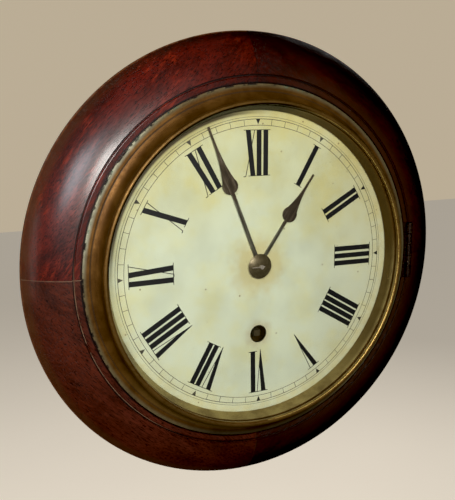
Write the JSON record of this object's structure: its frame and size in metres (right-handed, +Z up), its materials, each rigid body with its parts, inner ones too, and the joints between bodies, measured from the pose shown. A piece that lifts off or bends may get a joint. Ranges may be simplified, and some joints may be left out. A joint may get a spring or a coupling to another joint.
{
  "type": "wall clock",
  "caption": "Round-dial wall clock with a turned wooden surround, hinged brass bezel, Roman dial, spring and fusee movement and short pendulum in a box case.",
  "frame": {"origin": "on the wall plane behind the dial centre, at the middle of the backboard's rear face", "axes": "+Z up, +Y into the wall, the dial faces -Y, +X towards three o'clock"},
  "size_m": [0.2974, 0.1184, 0.2974],
  "materials": {
    "mahogany": "French polished dark red mahogany, worn at the arris",
    "pine": "bare softwood",
    "bezel_brass": "brown patinated brass with bright worn edges",
    "movement_brass": "brushed brass",
    "steel": "ground steel",
    "hand_steel": "dark oxidised steel",
    "dial_paint": "aged cream enamel paint on iron",
    "glass": "clear"
  },
  "bodies": {
    "case": {"surround_upper_right": "mahogany", "surround_upper_left": "mahogany", "surround_lower_left": "mahogany", "surround_lower_right": "mahogany", "surround_blocks": "pine", "case_pegs": "pine", "case_side_left": "mahogany", "case_side_right": "mahogany", "case_top": "mahogany", "case_bottom": "mahogany", "backboard": "pine", "hanging_plate": "movement_brass", "wood_screws": "steel", "door_hinges": "movement_brass", "dial_plate": "dial_paint", "dial_feet": "movement_brass", "surround_leaf": "bezel_brass", "front_plate": "movement_brass", "back_plate": "movement_brass", "pillars": "movement_brass", "taper_pins": "steel", "back_cock": "movement_brass", "movement_screws": "steel", "barrel_arbor": "steel", "setup_ratchet": "movement_brass", "mainspring": "steel", "fusee_chain": "steel"},
    "bezel": {"bezel_ring": "bezel_brass", "sight_ring": "bezel_brass", "bezel_glass": "glass", "bezel_leaf": "bezel_brass", "bezel_stud": "bezel_brass"},
    "side_door": {"side_door": "mahogany", "side_door_leaves": "movement_brass"},
    "side_catch": {"side_catch": "movement_brass"},
    "bottom_door": {"bottom_door": "mahogany"},
    "bottom_catch": {"bottom_catch": "movement_brass"},
    "barrel": {"barrel_drum": "movement_brass", "barrel_cap": "movement_brass"},
    "great_wheel": {"great_wheel": "movement_brass", "winding_click": "steel"},
    "fusee": {"fusee_cone": "movement_brass", "fusee_arbor": "steel"},
    "centre_wheel": {"centre_arbor": "steel", "centre_wheel": "movement_brass", "hand_pin": "steel"},
    "third_wheel": {"third_wheel": "movement_brass"},
    "escape_wheel": {"escape_wheel": "movement_brass"},
    "anchor": {"pallets": "steel", "crutch": "steel"},
    "pendulum": {"pendulum_rod": "steel", "suspension_spring": "steel"},
    "bob": {"pendulum_bob": "movement_brass"},
    "rating_nut": {"rating_nut": "movement_brass"},
    "minute_hand": {"cannon_wheel": "movement_brass", "minute_hand": "hand_steel", "hand_collet": "hand_steel"},
    "minute_wheel": {"minute_wheel": "movement_brass"},
    "hour_hand": {"hour_wheel": "movement_brass", "hour_hand": "hand_steel"}
  },
  "joints": [
    {"name": "bezel_hinge", "type": "hinge", "parent": "case", "child": "bezel", "pos_m": [0.121, -0.1064, 0], "axis": [0, 0, 1], "range_deg": [0, 120]},
    {"name": "hand_setting", "type": "hinge", "parent": "case", "child": "minute_hand", "pos_m": [0, -0.1, 0], "axis": [0, 1, 0], "continuous": true},
    {"name": "minute_wheel_turn", "type": "hinge", "parent": "case", "child": "minute_wheel", "pos_m": [0.01871, -0.092, -0.0108], "axis": [0, 1, 0], "continuous": true},
    {"name": "hour_hand_turn", "type": "hinge", "parent": "case", "child": "hour_hand", "pos_m": [0, -0.095, 0], "axis": [0, 1, 0], "continuous": true},
    {"name": "pendulum_swing", "type": "hinge", "parent": "case", "child": "pendulum", "pos_m": [0, -0.024, 0.06684], "axis": [0, 1, 0], "range_deg": [-3, 3], "deforming": ["suspension_spring"]},
    {"name": "bob_rating", "type": "slide", "parent": "pendulum", "child": "bob", "axis": [0, 0, 1], "range_m": [-0.004, 0.004]},
    {"name": "rating_nut_turn", "type": "hinge", "parent": "bob", "child": "rating_nut", "pos_m": [0, -0.024, -0.10316], "axis": [0, 0, 1], "range_deg": [-2900, 2900]},
    {"name": "anchor_rock", "type": "hinge", "parent": "case", "child": "anchor", "pos_m": [0, -0.05, 0.06684], "axis": [0, 1, 0], "range_deg": [-3.2, 3.2]},
    {"name": "escape_turn", "type": "hinge", "parent": "case", "child": "escape_wheel", "pos_m": [0, -0.06, 0.0428], "axis": [0, 1, 0], "range_deg": [-3.3, 3.3]},
    {"name": "third_turn", "type": "hinge", "parent": "case", "child": "third_wheel", "pos_m": [0.018, -0.053, 0.02516], "axis": [0, 1, 0], "range_deg": [-0.5, 0.5]},
    {"name": "centre_turn", "type": "hinge", "parent": "case", "child": "centre_wheel", "pos_m": [0, -0.06, 0], "axis": [0, 1, 0], "range_deg": [-0.2, 0.2]},
    {"name": "great_turn", "type": "hinge", "parent": "case", "child": "great_wheel", "pos_m": [0, -0.047, -0.0466], "axis": [0, 1, 0], "range_deg": [-0.1, 0.1]},
    {"name": "winding", "type": "hinge", "parent": "great_wheel", "child": "fusee", "pos_m": [0, -0.06, -0.0466], "axis": [0, 1, 0], "range_deg": [-2880, 2880], "deforming": ["mainspring", "fusee_chain"]},
    {"name": "barrel_turn", "type": "hinge", "parent": "case", "child": "barrel", "pos_m": [-0.038, -0.06, -0.02], "axis": [0, 1, 0], "range_deg": [-1600, 1600]},
    {"name": "side_door_hinge", "type": "hinge", "parent": "case", "child": "side_door", "pos_m": [0.0877, -0.07, -0.015], "axis": [0, 0, -1], "range_deg": [0, 95]},
    {"name": "side_catch_turn", "type": "hinge", "parent": "case", "child": "side_catch", "pos_m": [0.086, -0.016, -0.015], "axis": [1, 0, 0], "range_deg": [0, 90]},
    {"name": "bottom_door_hinge", "type": "hinge", "parent": "case", "child": "bottom_door", "pos_m": [0, -0.0214, -0.13215], "axis": [1, 0, 0], "range_deg": [0, 90]},
    {"name": "bottom_catch_turn", "type": "hinge", "parent": "case", "child": "bottom_catch", "pos_m": [0, -0.064, -0.1349], "axis": [0, 0, -1], "range_deg": [0, 90]}
  ],
  "couplings": [
    {"joint": "minute_wheel_turn", "follows": "hand_setting", "ratio": -0.66667},
    {"joint": "hour_hand_turn", "follows": "hand_setting", "ratio": 0.083333},
    {"joint": "rating_nut_turn", "follows": "bob_rating", "rad_per_m": 12566},
    {"joint": "anchor_rock", "follows": "pendulum_swing", "ratio": 1},
    {"joint": "escape_turn", "follows": "pendulum_swing", "ratio": -1},
    {"joint": "third_turn", "follows": "pendulum_swing", "ratio": 0.076923},
    {"joint": "centre_turn", "follows": "pendulum_swing", "ratio": -0.0064103},
    {"joint": "great_turn", "follows": "pendulum_swing", "ratio": 0.00053419},
    {"joint": "barrel_turn", "follows": "winding", "ratio": 0.5}
  ]
}
